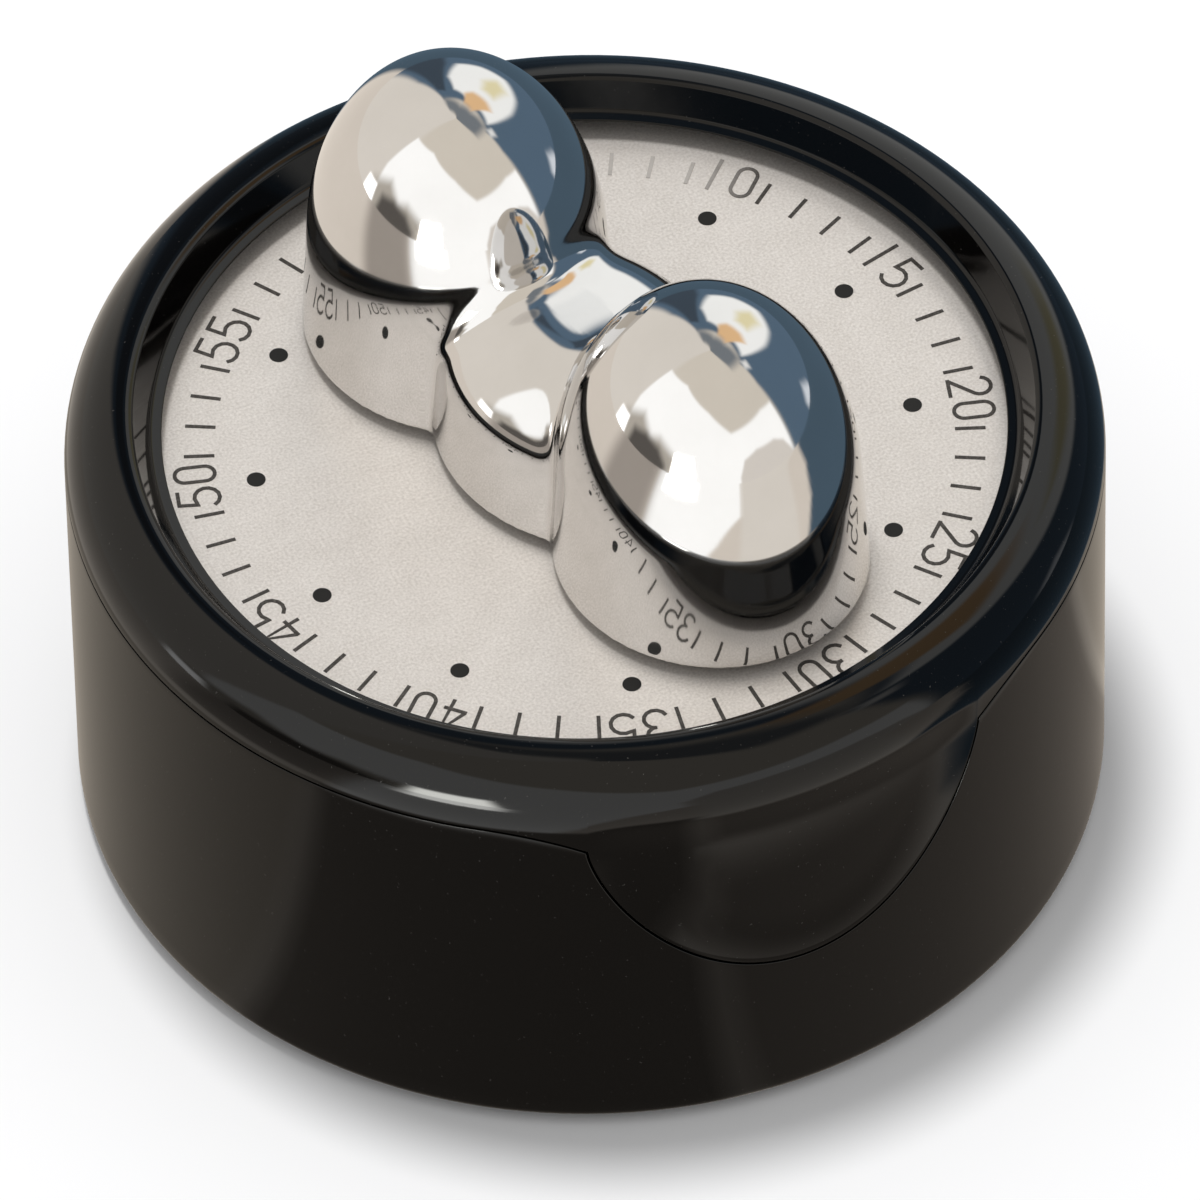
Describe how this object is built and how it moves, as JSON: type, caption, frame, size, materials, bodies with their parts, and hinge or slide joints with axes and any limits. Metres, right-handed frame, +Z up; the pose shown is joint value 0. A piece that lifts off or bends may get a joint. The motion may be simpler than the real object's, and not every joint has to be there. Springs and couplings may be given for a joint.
{
  "type": "kitchen timer",
  "caption": "Round wind-up kitchen timer: gloss black case with a thumb scoop, satin minute dial that turns with a two-lobed chrome knob, clockwork and bell inside.",
  "frame": {"origin": "centre of the footprint, on the surface that the timer stands on", "axes": "+Z up through the dial's axis; the scoop in the case wall faces -Y; +X to the right seen from the front"},
  "size_m": [0.08, 0.08, 0.0611],
  "materials": {
    "case_black": "high gloss moulded black",
    "cover_black": "fine texture",
    "deck_black": "fine texture",
    "foot_rubber": "matte",
    "knob_chrome": "mirror chrome plate",
    "dial_metal": "fine blasted satin",
    "ink": "printed ink",
    "screw_steel": "zinc plated",
    "arbor_steel": "ground steel",
    "spring_steel": "blued spring steel",
    "brass": "stamped brass",
    "bell_steel": "nickel plated"
  },
  "bodies": {
    "case": {"housing": "case_black", "bezel": "case_black", "base_cover": "cover_black", "foot_ring": "foot_rubber", "case_screws": "screw_steel", "deck": "deck_black", "deck_screws": "screw_steel", "lower_plate": "brass", "upper_plate": "brass", "pillars": "brass", "pillar_nuts": "screw_steel", "spring_post": "brass", "bell": "bell_steel", "bell_stud": "screw_steel", "bell_nut": "screw_steel", "mainspring": "spring_steel", "hammer_stud": "screw_steel", "hammer_spring": "spring_steel"},
    "dial": {"knob": "knob_chrome", "knob_bush": "brass", "knob_screws": "screw_steel", "dial_plate": "dial_metal", "dial_markings": "ink", "dial_carrier": "deck_black", "main_arbor": "arbor_steel", "arbor_clip": "screw_steel", "main_wheel": "brass", "ratchet_wheel": "arbor_steel", "trip_cam": "deck_black", "click_rivet": "screw_steel", "click_spring": "spring_steel"},
    "click": {"click": "arbor_steel"},
    "second": {"second_arbor": "arbor_steel", "second_wheel": "brass"},
    "third": {"third_arbor": "arbor_steel", "third_wheel": "brass"},
    "escape": {"escape_arbor": "arbor_steel", "escape_wheel": "brass"},
    "anchor": {"anchor_staff": "arbor_steel", "anchor": "arbor_steel", "inertia_ring": "brass"},
    "hammer": {"hammer_lever": "arbor_steel", "hammer_head": "brass"}
  },
  "joints": [
    {"name": "dial_turn", "type": "hinge", "parent": "case", "child": "dial", "pos_m": [0, 0, 0.034], "axis": [0, 0, 1], "range_deg": [-193.8, 166.2], "deforming": ["mainspring"]},
    {"name": "second_turn", "type": "hinge", "parent": "case", "child": "second", "pos_m": [0.01597, 0.00581, 0.019], "axis": [0, 0, 1], "continuous": true},
    {"name": "third_turn", "type": "hinge", "parent": "case", "child": "third", "pos_m": [0.00936, 0.01654, 0.019], "axis": [0, 0, 1], "continuous": true},
    {"name": "escape_turn", "type": "hinge", "parent": "case", "child": "escape", "pos_m": [-0.00104, 0.01947, 0.019], "axis": [0, 0, 1], "continuous": true},
    {"name": "anchor_rock", "type": "hinge", "parent": "case", "child": "anchor", "pos_m": [-0.00944, 0.01763, 0.019], "axis": [0, 0, 1], "range_deg": [-4, 4]},
    {"name": "hammer_swing", "type": "hinge", "parent": "case", "child": "hammer", "pos_m": [-0.02, 0, 0.019], "axis": [0, 0, 1], "range_deg": [-6, 1.5], "stiffness_Nm_per_rad": 0.002, "deforming": ["hammer_spring"]},
    {"name": "click_lift", "type": "hinge", "parent": "dial", "child": "click", "pos_m": [-0.00727, 0.0042, 0.0207], "axis": [0, 0, 1], "range_deg": [0, 6], "stiffness_Nm_per_rad": 0.00001}
  ],
  "couplings": [
    {"joint": "second_turn", "follows": "dial_turn", "ratio": -7.5},
    {"joint": "third_turn", "follows": "dial_turn", "ratio": 60},
    {"joint": "escape_turn", "follows": "dial_turn", "ratio": -480}
  ]
}
